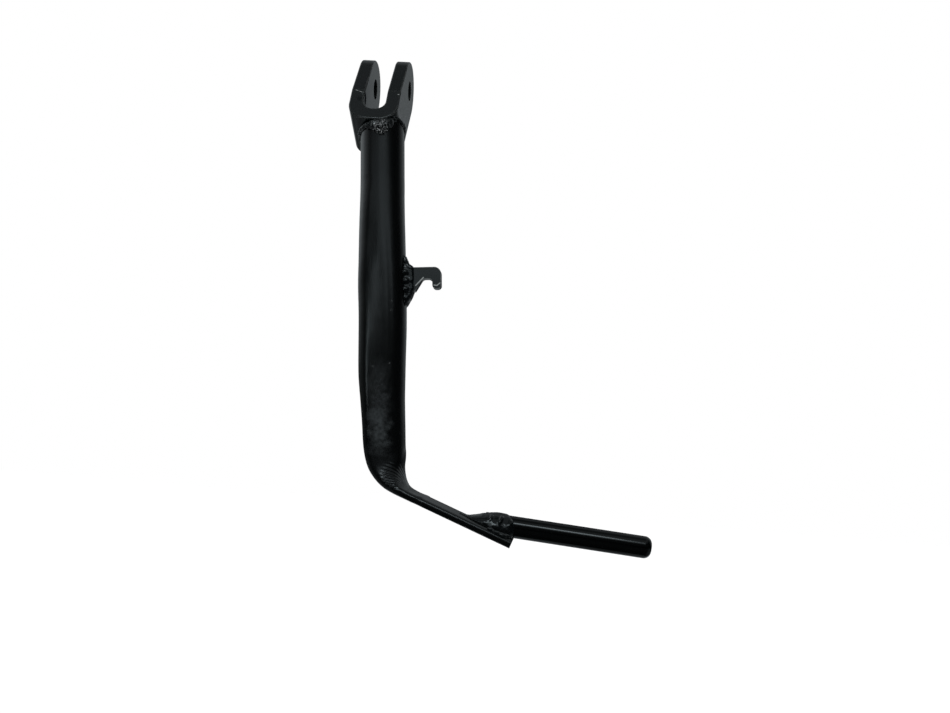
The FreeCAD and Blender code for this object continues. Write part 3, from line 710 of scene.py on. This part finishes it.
def meltTogether(name, parts, settings):
    # one closed skin over all the drops, softened and then made lumpy
    bpy.context.view_layer.update()
    bpy.ops.object.select_all(action="DESELECT")
    for part in parts:
        part.select_set(True)
    bpy.context.view_layer.objects.active = parts[0]
    bpy.ops.object.join()
    piece = bpy.context.object
    bpy.ops.object.transform_apply(location=True, rotation=True, scale=True)
    piece.name = name
    lumps = bpy.data.textures.new(name + "Lumps", "CLOUDS")
    lumps.noise_scale = settings["lumpSize"]
    applied(piece, "skin", "REMESH", mode="VOXEL", voxel_size=settings["grain"])
    applied(piece, "soft", "SMOOTH", iterations=settings["soften"])
    applied(piece, "lumps", "DISPLACE", texture=lumps, strength=settings["lumpHeight"])
    bpy.ops.object.shade_smooth()
    piece.data.materials.clear()
    piece.data.materials.append(enamels["enamelWeld"])
    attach(piece, "root")
    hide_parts(settings["node"])


coin = makeCoin(coinSet)

forkWeldSet = {
    "node": "fork_weld", "grain": 0.00026, "soften": 10, "lumpSize": 0.0019, "lumpHeight": 0.0008,
    "step": 9.0, "stray": 1.2,   # degrees from drop to drop, and how far a drop strays
    # round the tube, 0 in front and 90 on the right: the bead's radius there
    "bead": [(-180, 0.0018), (-80, 0.0014), (-50, 0.0013), (-32, 0.0018), (-18, 0.0034), (-4, 0.0048),
             (12, 0.0050), (24, 0.0036), (34, 0.0018), (46, 0.0010), (110, 0.0009), (140, 0.0018),
             (180, 0.0018)],
    "vary": (0.88, 1.1), "halfLength": 0.0022,
    # shares of a drop's radius: out from the tube, down from the plate, its thickness
    "out": 0.12, "down": 0.72, "thick": 0.95,
    "seed": 3,
}


def makeForkWeld(settings):
    # drops all the way round the tube, pushed up against the plate
    random.seed(settings["seed"])
    drops = []
    for index in range(round(360 / settings["step"])):
        place = -180 + index * settings["step"] + random.uniform(-settings["stray"], settings["stray"])
        angle = math.radians(place)
        size = between(settings["bead"], place) * random.uniform(*settings["vary"])
        out = legSet["radius"] + settings["out"] * size
        level = jointHeight(angle) - settings["down"] * size
        spot = onLeg(out * math.sin(angle), -out * math.cos(angle), level)
        along = legWay(math.cos(angle), math.sin(angle), 0)
        outward = legWay(math.sin(angle), -math.cos(angle), 0)
        axes = (along, outward, outward.cross(along))
        drops.append(placeCoin(spot, axes, (settings["halfLength"], size, size * settings["thick"])))
    meltTogether("forkBead", drops, settings)


makeForkWeld(forkWeldSet)

hookWeldSet = {
    "node": "hook_weld", "grain": 0.00022, "soften": 16, "lumpSize": 0.0036, "lumpHeight": 0.0007,
    # heights along the leg, first and last, and how far a drop lies from the leg's axis
    "run": (-0.0780, -0.0960), "step": 0.0048, "side": 0.0029, "out": 0.0135,
    "size": 0.0023, "vary": (0.8, 1.25), "wide": 1.2,
    "seed": 5,
}


def makeHookWeld(settings):
    # two rows of drops over the plain bead, one on each side of the hook
    random.seed(settings["seed"])
    parts = [cadCopy(settings["node"])]
    axes = (Vector((1, 0, 0)), Vector((0, 1, 0)), Vector((0, 0, 1)))
    level, last = settings["run"]
    while level > last:
        for side in (-1, 1):
            size = settings["size"] * random.uniform(*settings["vary"])
            spot = onLeg(settings["out"], side * settings["side"], level)
            parts.append(placeCoin(spot, axes, (size * settings["wide"], size, size)))
        level -= settings["step"]
    meltTogether("hookBead", parts, settings)


makeHookWeld(hookWeldSet)

moundSet = {
    "node": "toe_bar_weld", "grain": 0.00032, "soften": 10, "lumpSize": 0.0050, "lumpHeight": 0.0006,
    # back from the foot's end: half width and height of the mound
    "wide": [(0.001, 0.0066), (0.0023, 0.0087), (0.0052, 0.0098), (0.0103, 0.0102), (0.0176, 0.0096),
             (0.025, 0.0064), (0.033, 0.0026)],
    "high": [(0.001, 0.0072), (0.0023, 0.0090), (0.0052, 0.0104), (0.0103, 0.0103), (0.0176, 0.0076),
             (0.025, 0.0030), (0.033, 0.0010)],
    # ripples across it: first, last and step back from the end, how far one strays from the middle, and
    # its half length
    "ripples": (0.0050, 0.0240, 0.0048), "vary": (0.85, 1.15), "stray": 0.0004, "halfLength": 0.0026,
    # a ripple's half width, half height and lift as shares of the mound's, and what is added to both
    "rippleWide": 0.89, "rippleHigh": 0.55, "rippleLift": 0.45, "grow": 0.0002,
    # drops on the near edge of the foot: back, away, up, size; then the shape of each
    "spatter": [(0.0065, -0.0168, 0.0000, 0.0022), (0.0095, -0.0172, 0.0002, 0.0019),
                (0.0130, -0.0165, 0.0004, 0.0016), (0.0040, -0.0150, 0.0006, 0.0018)],
    "spatterShape": (1.3, 1.0, 0.8),
    "seed": 8,
}


def makeMound(settings):
    # ripples across the plain mound, and spatter on the foot's edge
    random.seed(settings["seed"])
    parts = [cadCopy(settings["node"])]
    axes = (Vector(footSet["along"]), Vector((0, 1, 0)), Vector(footSet["up"]))
    back, last, step = settings["ripples"]
    while back < last:
        halfWidth = settings["rippleWide"] * between(settings["wide"], back) + settings["grow"]
        high = between(settings["high"], back)
        halfHeight = settings["rippleHigh"] * high + settings["grow"]
        stray = random.uniform(-settings["stray"], settings["stray"])
        spot = onFoot(back, stray, settings["rippleLift"] * high)
        parts.append(placeCoin(spot, axes, (settings["halfLength"], halfWidth, halfHeight)))
        back += step * random.uniform(*settings["vary"])
    for back, away, up, size in settings["spatter"]:
        radii = [size * share for share in settings["spatterShape"]]
        parts.append(placeCoin(onFoot(back, away, up), axes, radii))
    meltTogether("toeMound", parts, settings)


makeMound(moundSet)
bpy.data.objects.remove(coin, do_unlink=True)
print("side stand: three welds laid")

coats = {"fork": "enamelPlate", "leg_tube": "enamelTube", "spring_hook": "enamelPlate",
         "toe_bar": "enamelBar", "fork_weld": "enamelWeld", "hook_weld": "enamelWeld",
         "toe_bar_weld": "enamelWeld"}
for node, coat in coats.items():
    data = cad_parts[node].data
    data.materials.clear()
    data.materials.append(enamels[coat])
print("side stand: enamel on every CAD node")
